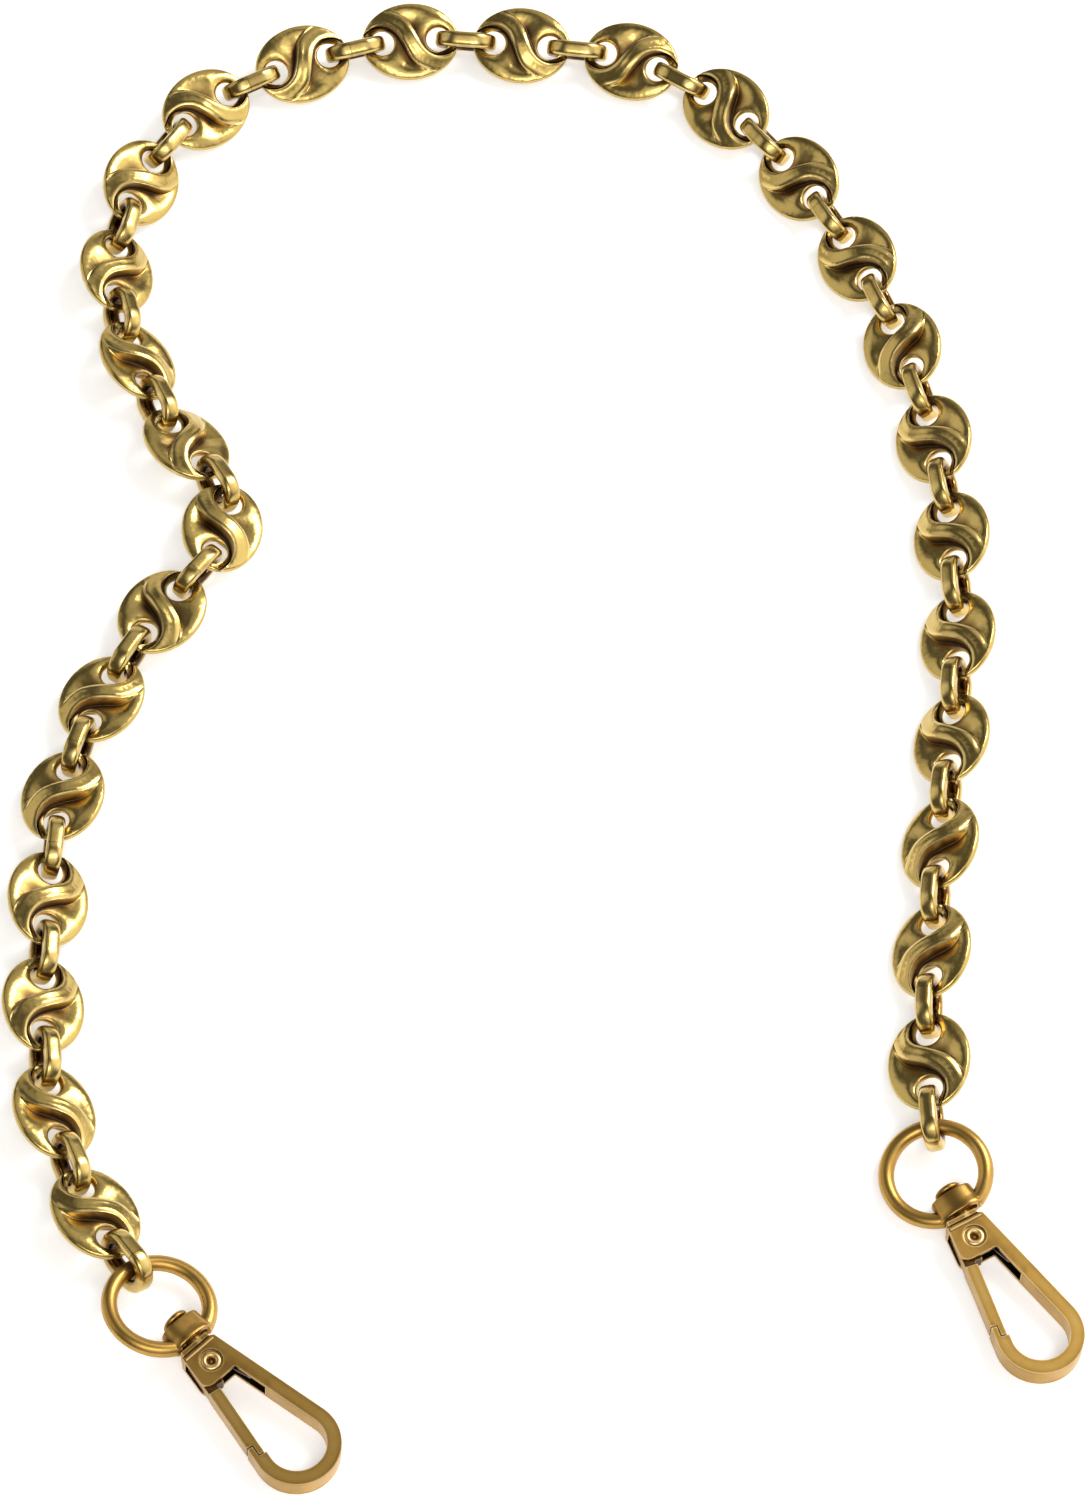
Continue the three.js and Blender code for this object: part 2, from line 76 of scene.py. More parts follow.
# Which face of each link is up, first hook to last: B has the S as it is modelled, and A is the
# link turned over about its long axis, so its S runs the other way.
FACES_UP = "AABBBBAABABBBABBABAABAAAABBA"


# ---- small tools ----

def numbered(name, number):
    return f"{name}_{number:02d}"


def mesh_of(points, faces):
    mesh = bpy.data.meshes.new("solid")
    mesh.from_pydata(points, [], faces)
    return mesh


def matrix_of(origin, x, y, z):
    """The matrix of a frame from its origin in metres and its axes, for a mesh in millimetres."""
    matrix = Matrix.Identity(4)
    for column, axis in enumerate((x, y, z)):
        for row in range(3):
            matrix[row][column] = axis[row]
    matrix.translation = origin
    return matrix


def mesh_from(name, points, faces, normals=None):
    """A mesh in metres from points in millimetres, smooth all over."""
    mesh = bpy.data.meshes.new(name)
    mesh.from_pydata([tuple(p * MM for p in point) for point in points], [], faces)
    mesh.polygons.foreach_set("use_smooth", [True] * len(mesh.polygons))
    if normals is not None:
        mesh.normals_split_custom_set_from_vertices([tuple(n) for n in normals])
    mesh.update()
    return mesh


def store(mesh, name, values):
    """Keeps a number for each point of a mesh, for its material to read."""
    mesh.attributes.new(name, "FLOAT", "POINT").data.foreach_set("value", values.astype(np.float32))


def piece(name, mesh, matrix, body, slot, *nodes):
    """Places one shown piece, lets it ride on its body, and hides the CAD nodes it stands for."""
    thing = bpy.data.objects.new(name, mesh)
    bpy.context.scene.collection.objects.link(thing)
    thing.matrix_world = matrix
    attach(thing, body)
    if nodes:
        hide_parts(*nodes)
    return thing


def skin(steps, sides):
    """Faces over a run of sections, steps + 1 of them, with both ends closed."""
    faces = []
    for step in range(steps):
        for side in range(sides):
            a, b = step * sides + side, step * sides + (side + 1) % sides
            faces.append((a, b, b + sides, a + sides))
    faces.append(tuple(reversed(range(sides))))
    faces.append(tuple(steps * sides + side for side in range(sides)))
    return faces


def smoothstep(low, high, value):
    t = np.clip((value - low) / (high - low), 0, 1)
    return t * t * (3 - 2 * t)


def through(points, steps):
    """A Catmull-Rom curve through the points, as an array of steps points for each span."""
    p = np.array([points[0], *points, points[-1]], float)
    t = np.linspace(0, 1, steps, endpoint=False)[:, None]
    spans = []
    for a, b, c, d in zip(p, p[1:], p[2:], p[3:]):
        cubic = (-a + 3 * b - 3 * c + d) * t**3 + (2 * a - 5 * b + 4 * c - d) * t**2
        spans.append((cubic + (c - a) * t + 2 * b) / 2)
    return np.vstack([*spans, p[-1:]])


# ---- the puffed link's relief, as a height over its middle plane ----

DOME = 2.8
RIM = 0.5
DOME_POWER = 1.2
RIM_ROUND = 0.3
HOLE_ROUND = 0.38
WEB = 0.55
WEB_SLOPE = 0.5
SCOOP_DEPTH = 2.2
SCOOP_FLOOR = -0.1
SCOOP_RIDGE = 0.95
SCOOP_NEAR = 4.5
SCOOP_END = 10.3
WALL = 0.45
SHOULDER_DROP = 0.22
SHOULDER_WIDTH = 0.8
CREASE_WIDTH = 0.45
CREASE_FADE = 1.4
GROOVE = 0.1
GROOVE_FROM = 0.1
GROOVE_TO = 1.7
WEB_BLEND = 6
# Patina in the scoops and the crease, painted shade along the ribbon's middle, and a band that is partly
# wear and partly painted highlight along the edges and round the holes.
DEPTH_PATINA = 0.62
RIBBON_PAINTED_SHADE = 0.1
CREASE_PATINA = 0.6
CREASE_PATINA_WIDTH = 0.6
WEAR_AND_HIGHLIGHT_OFFSET = 0.1
WEAR_AND_HIGHLIGHT_WIDTH = 0.2

# One edge of the S ribbon: in over the rim, down across the middle, under the hole and out.
# The other edge is the same line turned by half a turn.
RIBBON_EDGE = through(
    [
        (-6.4, 6.5), (-4.3, 5.75), (-2.1, 5.0), (-0.5, 3.75), (0.42, 2.15), (1.25, 0.3),
        (2.35, -1.75), (4.1, -2.95), (6.2, -2.95), (8.0, -2.0), (9.6, -0.9),
    ],
    14,
)


def beyond_edge(points):
    """Signed distance from the ribbon's edge: above zero on the ribbon's side."""
    start, end = RIBBON_EDGE[:-1], RIBBON_EDGE[1:]
    along = end - start
    offset = points[:, None, :] - start[None]
    share = np.clip((offset * along).sum(2) / (along**2).sum(1), 0, 1)
    away = offset - share[..., None] * along
    distance = np.hypot(away[..., 0], away[..., 1])
    nearest = distance.argmin(1)
    rows = np.arange(len(points))
    run, back = along[nearest], offset[rows, nearest]
    side = run[:, 1] * back[:, 0] - run[:, 0] * back[:, 1]
    return np.sign(side) * distance[rows, nearest]


def relief(points):
    """Height, how much patina and painted shade, and how much wear and painted highlight there is, at
    each point.
    """
    first, second = beyond_edge(points), beyond_edge(-points)
    inside = np.minimum(first, second)
    hole = np.where((first < second)[:, None], points, -points) - (HOLE_X, 0)
    from_hole = np.hypot(hole[:, 0], hole[:, 1])
    beyond_hole = np.maximum(from_hole - HOLE_RADIUS, 0)
    x, y = points[:, 0] / LINK_HALF_LENGTH, points[:, 1] / LINK_HALF_WIDTH
    reach = np.sqrt(x**2 + y**2)
    steep = np.hypot(x / LINK_HALF_LENGTH, y / LINK_HALF_WIDTH) / np.maximum(reach, 1e-6)
    from_rim = np.maximum(1 - reach, 0) / np.maximum(steep, 0.1)
    dome = RIM + (DOME - RIM) * np.maximum(1 - reach**2, 0) ** DOME_POWER

    fade = smoothstep(0, CREASE_FADE, from_rim)
    width = np.where(inside > 0, SHOULDER_WIDTH, CREASE_WIDTH)
    height = dome - SHOULDER_DROP * fade * (1 - np.minimum(np.abs(inside) / width, 1)) ** 2
    scooped = np.maximum(-inside, 0)
    share = scooped / np.maximum(scooped + from_rim, 1e-6)
    strength = 1 - smoothstep(SCOOP_NEAR, SCOOP_END, from_hole)
    wall = smoothstep(0, WALL, scooped)
    height -= SCOOP_DEPTH * strength * wall * (1 - smoothstep(SCOOP_FLOOR, SCOOP_RIDGE, share))
    height -= GROOVE * fade * smoothstep(GROOVE_FROM, GROOVE_TO, inside)
    web = WEB + WEB_SLOPE * beyond_hole + (1 - wall) * DOME
    height = -np.log(np.exp(-WEB_BLEND * height) + np.exp(-WEB_BLEND * web)) / WEB_BLEND

    # Patina in the scoops and the crease, and painted shade along the ribbon's middle.
    patina_and_painted_light = DEPTH_PATINA * smoothstep(0.4, 2.4, dome - height)
    patina_and_painted_light += RIBBON_PAINTED_SHADE * smoothstep(0.4, 1.6, inside)
    crease = CREASE_PATINA * strength * np.exp(-((scooped / CREASE_PATINA_WIDTH) ** 2))
    patina_and_painted_light += np.where(inside < 0, crease, 0)
    # Lighter along the ribbon's edges and round the holes: partly wear, partly a painted highlight.
    from_edge = np.minimum(np.abs(inside - WEAR_AND_HIGHLIGHT_OFFSET), beyond_hole - WEAR_AND_HIGHLIGHT_OFFSET)
    wear_and_highlight = np.exp(-((from_edge / WEAR_AND_HIGHLIGHT_WIDTH) ** 2))
    for near, size in ((from_rim, RIM_ROUND), (beyond_hole, HOLE_ROUND)):
        height = height * np.sqrt(1 - (1 - np.minimum(near / size, 1)) ** 2)
    return height, patina_and_painted_light, wear_and_highlight


def offset_line(line, offset):
    """The line moved sideways, to its right where the offset is above zero."""
    run = np.gradient(line, axis=0)
    run /= np.hypot(run[:, 0], run[:, 1])[:, None]
    return line + offset * np.stack([run[:, 1], -run[:, 0]], 1)


RIM_STEPS = 96
HOLE_STEPS = 40
RIM_INSETS = (0, 0.03, 0.1, 0.2, 0.34, 0.6)
HOLE_OUTSETS = (0, 0.03, 0.09, 0.17, 0.28, 0.45)
EDGE_OFFSETS = (
    -0.7, -0.54, -0.44, -0.36, -0.28, -0.2, -0.12, -0.05, 0, 0.08, 0.2, 0.38, 0.62, 0.9)
GRID_STEP = 0.5
GRID_ROWS = 16
GRID_COLUMNS = 18


def link_points():
    """Points over the link's outline: close together where the relief turns sharply."""
    rim_turns = np.linspace(0, 2 * math.pi, RIM_STEPS, endpoint=False)
    hole_turns = np.linspace(0, 2 * math.pi, HOLE_STEPS, endpoint=False)
    rims = []
    for inset in RIM_INSETS:
        a, b = LINK_HALF_LENGTH - inset, LINK_HALF_WIDTH - inset
        rims.append(np.stack([a * np.cos(rim_turns), b * np.sin(rim_turns)], 1))
    circles = []
    for side in (-1, 1):
        for outset in HOLE_OUTSETS:
            r = HOLE_RADIUS + outset
            circle = np.stack([r * np.cos(hole_turns), r * np.sin(hole_turns)], 1)
            circles.append(circle + (side * HOLE_X, 0))
    edges = []
    for offset in EDGE_OFFSETS:
        line = offset_line(RIBBON_EDGE, offset)
        edges += [line[::2], -line[::2]]
    grid = []
    for row in range(-GRID_ROWS, GRID_ROWS + 1):
        for column in range(-GRID_COLUMNS, GRID_COLUMNS + 1):
            x, y = column + 0.5 * (row % 2), row * math.sqrt(0.75)
            grid.append((x * GRID_STEP, y * GRID_STEP))
    return rims, circles, edges, np.array(grid)


def link_mesh():
    """Both faces of a link from one triangulated outline: they meet at the rim and the holes."""
    rims, circles, edges, grid = link_points()
    second = len(HOLE_OUTSETS)
    border = [rims[0], circles[0], circles[second]]
    kept = np.vstack(border)
    loops = []
    start = 0
    for loop in border:
        loops.append([(start + i, start + (i + 1) % len(loop)) for i in range(len(loop))])
        start += len(loop)
    rounds = rims[1:] + circles[1:second] + circles[second + 1:]
    for group, gap in ((rounds, 0.02), (edges, 0.035), ([grid], 0.2)):
        for line in group:
            reach = np.hypot(line[:, 0] / LINK_HALF_LENGTH, line[:, 1] / LINK_HALF_WIDTH)
            off_hole = np.hypot(np.abs(line[:, 0]) - HOLE_X, line[:, 1]) - HOLE_RADIUS
            line = line[(reach < 0.998) & (off_hole > 0.012)]
            apart = np.hypot(*(line[:, None, :] - kept[None]).transpose(2, 0, 1)).min(1)
            kept = np.vstack([kept, line[apart > gap]])
    joined = [edge for loop in loops for edge in loop]
    flat, _, triangles, origin, _, _ = delaunay_2d_cdt(
        [Vector(p) for p in kept], joined, [], 0, 1e-5, True)
    flat = np.array([tuple(p) for p in flat])
    middle = np.array([flat[list(t)].mean(0) for t in triangles])
    solid = np.hypot(np.abs(middle[:, 0]) - HOLE_X, middle[:, 1]) > HOLE_RADIUS * 0.995
    triangles = [list(t) for t, keep in zip(triangles, solid) if keep]
    on_border = np.array([min(o) < start for o in origin])

    height, patina_and_painted_light, wear_and_highlight = relief(flat)
    nudge = 0.01
    slope_x = (relief(flat + (nudge, 0))[0] - relief(flat - (nudge, 0))[0]) / (2 * nudge)
    slope_y = (relief(flat + (0, nudge))[0] - relief(flat - (0, nudge))[0]) / (2 * nudge)
    normal = np.stack([-slope_x, -slope_y, np.ones(len(flat))], 1)
    outward = flat / (LINK_HALF_LENGTH**2, LINK_HALF_WIDTH**2)
    in_hole = np.hypot(np.abs(flat[:, 0]) - HOLE_X, flat[:, 1]) < HOLE_RADIUS + 0.01
    to_hole = np.stack([np.sign(flat[:, 0]) * HOLE_X - flat[:, 0], -flat[:, 1]], 1)
    flat_normal = np.where(in_hole[:, None], to_hole, outward)
    normal[on_border] = np.pad(flat_normal[on_border], ((0, 0), (0, 1)))
    normal /= np.linalg.norm(normal, axis=1)[:, None]

    height[on_border] = 0
    count = len(flat)
    lower = np.arange(count) + count
    inner = np.flatnonzero(~on_border)
    lower[on_border] = np.flatnonzero(on_border)
    lower[inner] = count + np.arange(len(inner))
    points = np.column_stack([flat, height])
    under = points[inner] * (1, 1, -1)
    faces = triangles + [[int(lower[i]) for i in reversed(t)] for t in triangles]
    normals = np.vstack([normal, normal[inner] * (1, 1, -1)])
    mesh = mesh_from("puffed_link", np.vstack([points, under]), faces, normals)
    # Patina with painted shade, and wear with a painted highlight, kept for the material.
    for name, values in (("patina_and_painted_light", patina_and_painted_light), ("wear_and_highlight", wear_and_highlight)):
        store(mesh, name, np.concatenate([values, values[inner]]))
    return mesh


# ---- materials ----

def material(name, build):
    made = bpy.data.materials.new(name)
    made.use_nodes = True
    nodes = made.node_tree.nodes
    build(nodes, made.node_tree.links, nodes["Principled BSDF"])
    return made


def ramp(nodes, stops):
    node = nodes.new("ShaderNodeValToRGB")
    elements = node.color_ramp.elements
    elements[0].position, elements[0].color = stops[0][0], (*stops[0][1], 1)
    elements[1].position, elements[1].color = stops[-1][0], (*stops[-1][1], 1)
    for position, color in stops[1:-1]:
        elements.new(position).color = (*color, 1)
    return node


def maths(nodes, links, operation, first, second):
    node = nodes.new("ShaderNodeMath")
    node.operation = operation
    for socket, value in zip(node.inputs, (first, second)):
        if isinstance(value, (int, float)):
            socket.default_value = value
        else:
            links.new(value, socket)
    return node.outputs[0]


def remap(nodes, links, value, low, high, to_low=0.0, to_high=1.0):
    node = nodes.new("ShaderNodeMapRange")
    node.interpolation_type = "SMOOTHSTEP"
    links.new(value, node.inputs["Value"])
    for name, number in (("From Min", low), ("From Max", high), ("To Min", to_low), ("To Max", to_high)):
        node.inputs[name].default_value = number
    return node.outputs["Result"]


def noise(nodes, links, scale, detail=4.0):
    """Noise over the piece's own frame, scale in cycles a metre."""
    where = nodes.new("ShaderNodeTexCoord")
    node = nodes.new("ShaderNodeTexNoise")
    links.new(where.outputs["Object"], node.inputs["Vector"])
    node.inputs["Scale"].default_value = scale
    node.inputs["Detail"].default_value = detail
    node.inputs["Roughness"].default_value = 0.55
    return node.outputs["Fac"]


def attribute(nodes, name):
    node = nodes.new("ShaderNodeAttribute")
    node.attribute_name = name
    return node.outputs["Fac"]


def bumped(nodes, links, shader, height, strength, distance):
    bump = nodes.new("ShaderNodeBump")
    bump.inputs["Strength"].default_value = strength
    bump.inputs["Distance"].default_value = distance
    links.new(height, bump.inputs["Height"])
    links.new(bump.outputs["Normal"], shader.inputs["Normal"])


BRIGHT_BRASS = (0.76, 0.57, 0.23)
LINK_BRASS = (0.55, 0.395, 0.125)
BROWN_BRASS = (0.3, 0.18, 0.055)
# Dark: real patina in the links' scoops, painted shade on the rings and hooks.
DARK_PATINA_AND_SHADE = (0.07, 0.04, 0.02)
HOOK_BRASS = (0.43, 0.25, 0.058)
HOOK_LIGHT = (0.53, 0.325, 0.085)
HOOK_BROWN = (0.19, 0.1, 0.03)
# For the hooks' edges: partly rubbed bright, partly a painted highlight.
HOOK_EDGE = (0.75, 0.52, 0.22)


def link_brass(nodes, links, shader):
    """Brass with dark patina left in the scoops and painted shade along the ribbon's middle; lighter
    along the edges, partly rubbed bright and partly a painted highlight.
    """
    patina_and_painted_light, wear_and_highlight = attribute(nodes, "patina_and_painted_light"), attribute(nodes, "wear_and_highlight")
    blotch = noise(nodes, links, 260)
    dark = maths(nodes, links, "ADD", patina_and_painted_light, maths(nodes, links, "MULTIPLY", blotch, 0.5))
    dark = maths(nodes, links, "SUBTRACT", dark, 0.25)
    color = ramp(nodes, [(0, LINK_BRASS), (0.2, LINK_BRASS), (0.5, BROWN_BRASS), (0.85, DARK_PATINA_AND_SHADE)])
    links.new(dark, color.inputs["Fac"])
    # The edges mix towards bright brass: partly wear, partly a painted highlight.
    mix = nodes.new("ShaderNodeMix")
    mix.data_type = "RGBA"
    mix.inputs["B"].default_value = (*BRIGHT_BRASS, 1)
    links.new(maths(nodes, links, "MULTIPLY", wear_and_highlight, 0.7), mix.inputs["Factor"])
    links.new(color.outputs["Color"], mix.inputs["A"])
    links.new(mix.outputs["Result"], shader.inputs["Base Color"])
    rough = maths(nodes, links, "ADD", maths(nodes, links, "MULTIPLY", blotch, 0.14),
                  maths(nodes, links, "MULTIPLY", patina_and_painted_light, 0.16))
    links.new(maths(nodes, links, "ADD", rough, 0.16), shader.inputs["Roughness"])
    shader.inputs["Metallic"].default_value = 1
    waves = noise(nodes, links, 330, 2)
    grain = maths(nodes, links, "MULTIPLY", noise(nodes, links, 1800, 3), 0.06)
    bumped(nodes, links, shader, maths(nodes, links, "ADD", waves, grain), 0.25, 0.0006)


def ring_brass(nodes, links, shader):
    """Bright drawn wire, with painted shade on the inside of the ring."""
    blotch = noise(nodes, links, 300)
    shade = maths(nodes, links, "MULTIPLY", attribute(nodes, "patina_and_painted_light"), 0.5)
    color = ramp(nodes, [
        (0, DARK_PATINA_AND_SHADE), (0.2, BROWN_BRASS), (0.46, LINK_BRASS), (0.75, BRIGHT_BRASS)])
    links.new(maths(nodes, links, "SUBTRACT", blotch, shade), color.inputs["Fac"])
    links.new(color.outputs["Color"], shader.inputs["Base Color"])
    links.new(remap(nodes, links, blotch, 0.3, 0.7, 0.26, 0.16), shader.inputs["Roughness"])
    shader.inputs["Metallic"].default_value = 1
    bumped(nodes, links, shader, noise(nodes, links, 1200, 2), 0.08, 0.0002)


def occlusion(nodes, distance, inside):
    """1 in the open, less in corners; or, inside, 1 in the thick and less near convex edges."""
    node = nodes.new("ShaderNodeAmbientOcclusion")
    node.samples = 8
    node.only_local = True
    node.inside = inside
    node.inputs["Distance"].default_value = distance
    return node.outputs["AO"]


def hook_brass(nodes, links, shader):
    """Satin antique brass, browner than the links: painted shade in corners, a little darker near convex
    edges and in thin parts, and lighter right on the edges, partly rubbed bright and partly a painted
    highlight.
    """
    blotch = noise(nodes, links, 160, 3)
    tone = remap(nodes, links, blotch, 0.3, 0.7, 0.58, 0.78)
    # Painted shade in corners.
    shut = remap(nodes, links, occlusion(nodes, 0.0014, False), 0.3, 0.9, -0.6, 0)
    # A little darker near convex edges and in thin parts.
    beside = remap(nodes, links, occlusion(nodes, 0.0011, True), 0.55, 0.95, -0.2, 0)
    # Lighter on the edges: partly rubbed bright, partly a painted highlight.
    edge = remap(nodes, links, occlusion(nodes, 0.00036, True), 0.5, 0.8, 0.75, 0)
    # Painted shade in the channel and the gaps, and a painted highlight on the bead, from the mesh.
    dark = maths(nodes, links, "MULTIPLY", attribute(nodes, "patina_and_painted_light"), -0.7)
    for change in (shut, beside, edge, dark):
        tone = maths(nodes, links, "ADD", tone, change)
    color = ramp(nodes, [
        (0, DARK_PATINA_AND_SHADE), (0.3, HOOK_BROWN), (0.52, HOOK_BRASS), (0.72, HOOK_LIGHT), (1, HOOK_EDGE)])
    links.new(tone, color.inputs["Fac"])
    links.new(color.outputs["Color"], shader.inputs["Base Color"])
    links.new(remap(nodes, links, blotch, 0.3, 0.7, 0.36, 0.3), shader.inputs["Roughness"])
    shader.inputs["Metallic"].default_value = 1
    bumped(nodes, links, shader, noise(nodes, links, 2600, 2), 0.1, 0.0001)


def spring_wire(nodes, links, shader):
    blotch = noise(nodes, links, 900)
    color = ramp(nodes, [(0.3, (0.16, 0.15, 0.14)), (0.7, (0.42, 0.41, 0.39))])
    links.new(blotch, color.inputs["Fac"])
    links.new(color.outputs["Color"], shader.inputs["Base Color"])
    links.new(remap(nodes, links, blotch, 0.3, 0.7, 0.45, 0.28), shader.inputs["Roughness"])
    shader.inputs["Metallic"].default_value = 1


LINK_MATERIAL = material("polished_antique_brass", link_brass)
RING_MATERIAL = material("bright_brass_wire", ring_brass)
HOOK_MATERIAL = material("satin_antique_brass", hook_brass)
SPRING_MATERIAL = material("spring_steel_wire", spring_wire)


# ---- jump ring ----

WIRE_POWER = 2 / 3.2
WIRE_SIDES = 28
RING_STEPS = 72
SEAM_GAP = 0.07

# Where a ring's cut is, as a share of the way round: the first is for the ring on the first eye.
RING_SEAMS = (0.0, 0.06, 0.31, 0.5, 0.56)


def wire_section():
    """Points round the flattened wire, as (out, across): a rectangle with round corners."""
    points = []
    for side in range(WIRE_SIDES):
        turn = 2 * math.pi * (side + 0.5) / WIRE_SIDES
        c, s = math.cos(turn), math.sin(turn)
        out = WIRE_HALF_THICKNESS * math.copysign(abs(c) ** WIRE_POWER, c)
        across = WIRE_HALF_WIDTH * math.copysign(abs(s) ** WIRE_POWER, s)
        points.append((out, across))
    return points


def ring_mesh(seam):
    """An oval of wire in the XZ plane whose two cut ends meet at the seam."""
    straight = 2 * RING_STRAIGHT
    bend = math.pi * RING_BEND
    length = 2 * straight + 2 * bend
    section = wire_section()
    points = []
    for step in range(RING_STEPS + 1):
        along = SEAM_GAP / 2 + (length - SEAM_GAP) * step / RING_STEPS
        at = (seam * length + along) % length
        if at < straight:
            x, angle = at - straight / 2, math.pi / 2
        elif at < straight + bend:
            x, angle = straight / 2, math.pi / 2 - (at - straight) / RING_BEND
        elif at < 2 * straight + bend:
            x, angle = straight / 2 - (at - straight - bend), -math.pi / 2
        else:
            x, angle = -straight / 2, -math.pi / 2 - (at - 2 * straight - bend) / RING_BEND
        for out, across in section:
            reach = RING_BEND + out
            points.append((x + reach * math.cos(angle), across, reach * math.sin(angle)))
    faces = skin(RING_STEPS, WIRE_SIDES)
    mesh = mesh_from("jump_ring", points, faces)
    mesh.set_sharp_from_angle(angle=math.radians(50))
    # Painted shade on the inside of the ring, strongest on its inner face.
    inwards = [-out / WIRE_HALF_THICKNESS for out, _ in section] * (RING_STEPS + 1)
    store(mesh, "patina_and_painted_light", smoothstep(-0.1, 0.8, np.array(inwards)))
    return mesh


# ---- the chain, placed from its joints ----

def node_of_link(number):
    joined = "_with_ring" if number % 3 == 0 else ""
    return numbered("puffed_link", number) + joined


def link_frame(number):
    """Centre in metres and axes of a link: the next ring's tilt joint lies on its end bar."""
    joint = JOINTS[numbered("ring", number + 1) + "_tilt"]
    y = Vector(joint["axis"]) * (1 if (number + 1) % 2 == 0 else -1)
    x = y.cross(UP).normalized()
    z = x.cross(y).normalized()
    return Vector(joint["pos_m"]) - x * BAR_X * MM, x, y, z


def between(first, last, number, count):
    """A value that runs evenly from the first of count things to the last, counted from 1."""
    return first + (last - first) * (number - 1) / (count - 1)


def laid(start, end, lean):
    """A ring's matrix, from the two ends of its middle line and how far it leans over."""
    x = (end - start).normalized()
    level = UP.cross(x).normalized()
    y = level * math.cos(lean) + UP * math.sin(lean)
    return matrix_of((start + end) / 2, x, y, x.cross(y))


def toward_eye(wire, end):
    """The far end of an end ring's middle line, from the end that is in the link."""
    eye = Vector(JOINTS[f"eye_{end}_tilt"]["pos_m"])
    return wire + (eye - wire).normalized() * RING_SPAN * MM


def make_chain():
    link = link_mesh()
    link.materials.append(LINK_MATERIAL)
    rings = [ring_mesh(seam) for seam in RING_SEAMS]
    for ring in rings:
        ring.materials.append(RING_MATERIAL)
    frames = [link_frame(number) for number in range(1, LINK_COUNT + 1)]
    leans = [math.asin(y.z) for _, _, y, _ in frames]
    starts, ends = [], []
    for number, (centre, x, y, z) in enumerate(frames, 1):
        play = between(FIRST_PLAY, LAST_PLAY, number, LINK_COUNT)
        to_wire = x * (BAR_X - BAR_TO_WIRE - play) * MM
        starts.append(centre - to_wire)
        ends.append(centre + to_wire)
        if FACES_UP[number - 1] == "A":
            y, z = -y, -z
        node = node_of_link(number)
        piece(numbered("link", number), link, matrix_of(centre, x, y, z), node, "polished_brass", node)
    stations = np.linspace(0, LINK_COUNT, len(RING_EXTRA_LEAN))
    for number in range(1, LINK_COUNT + 2):
        lean = (leans[max(number - 2, 0)] + leans[min(number - 1, LINK_COUNT - 1)]) / 2
        lean += math.radians(np.interp(number - 1, stations, RING_EXTRA_LEAN))
        if number == 1:
            end = starts[0]
            start = toward_eye(end, "a")
        elif number == LINK_COUNT + 1:
            start = ends[-1]
            end = toward_eye(start, "b")
        else:
            start, end = ends[number - 2], starts[number - 1]
        joined = number % 3 == 0 and number <= LINK_COUNT
        node = node_of_link(number) if joined else numbered("jump_ring", number)
        shown = [] if joined else [node]
        mesh = rings[0] if number == 1 else random.choice(rings)
        piece(numbered("ring", number), mesh, laid(start, end, lean), node, "polished_brass", *shown)


# ---- solids of the hooks: millimetres, in the hook's own frame ----
# The origin is the gate pin's middle, +X runs to the bow, and the arm is on the +Y side.

ARM_ANGLE = 10.3
BOW_X = 18.7
BOW_Y = 0.2
BOW_OUTER = 6.8
BOW_INNER = 4.6
HOOK_HALF_HEIGHT = 1.95
SHOULDER_X = -3.3
SHOULDER_LOW_Y = -3.0
SHOULDER_CORNER = 0.5
CHAMFER = [(-3.4, 1.5), (-2.9, 2.05), (-3.4, 2.05)]
BEAD_X = -2.6
BEAD_START = -2.85
BEAD_END = 2.75
BEAD_RADIUS = 0.3
BEAD_DEPTH = 0.08
# Below zero: a painted highlight along the bead.
BEAD_PAINTED_HIGHLIGHT = -0.7
NECK_START = -4.1
NECK_LOW_Y = -2.5
NECK_HIGH_Y = 2.6
NECK_HALF_HEIGHT = 1.65
NECK_BORE = 1.4
HOOK_ROUND = 0.17
CHEEK_END_X = 3.1
CHEEK_SIDE_Y = -3.75
CHEEK_CORNER = 1.4
CHANNEL_HALF_HEIGHT = 1.35
CHANNEL_BACK_X = -2.4
RECESS_END_X = 8.7
RECESS_DEPTH = 1.1
PIN_BORE = 0.9
COUNTERBORE = 1.85
COUNTERBORE_DEPTH = 0.3
THROUGH = 8
GATE_ANGLE = -10.5
GATE_OUTER_Y = -3.15
GATE_INNER_Y = -1.2
GATE_SPINE_Y = -2.1
GATE_HALF_HEIGHT = 1.6
GATE_EAR = 1.2
GATE_SLOT = 0.65
GATE_HUB = 2.05
GATE_SPINE_START = -1.6
GATE_BAR_X = 4.4
GATE_STEM_END = 4.9
GATE_STEP_X = 3.7
GATE_END = 15.0
GATE_LIP_END = 16.8
GATE_LIP = 0.9
GATE_ROUND = 0.13
NOSE_START = 15.3
NOSE_STEP = 17.1
NOSE_TONGUE = 0.85
BORE_SIDES = 32
ROUND_SIDES = 48
HEAD_SIDES = 40
TOUCH = 0.02
SWIVEL_Y = 0.9
EYE_TURN = {"a": -12, "b": 12}
EYE_X = -12.6
EYE_RADIUS = 7.75
EYE_WIRE = 1.25
EYE_GAP = 20
COLLAR = {"wide": 3.6, "high": 2.4, "squareness": 1.15}
COLLAR_BORE = 1.55
POST_RADIUS = 1.3
SPRING_RADIUS = 1.3
SPRING_WIRE = 0.16
SPRING_RISE = 0.84
SPRING_STEPS = 60
SPRING_START = math.radians(ARM_ANGLE + 97)
SPRING_WOUND = math.radians(720 + 150)


def arc(x, y, radius, start, end, steps):
    turns = [math.radians(start + (end - start) * i / steps) for i in range(steps + 1)]
    return [(x + radius * math.cos(t), y + radius * math.sin(t)) for t in turns]


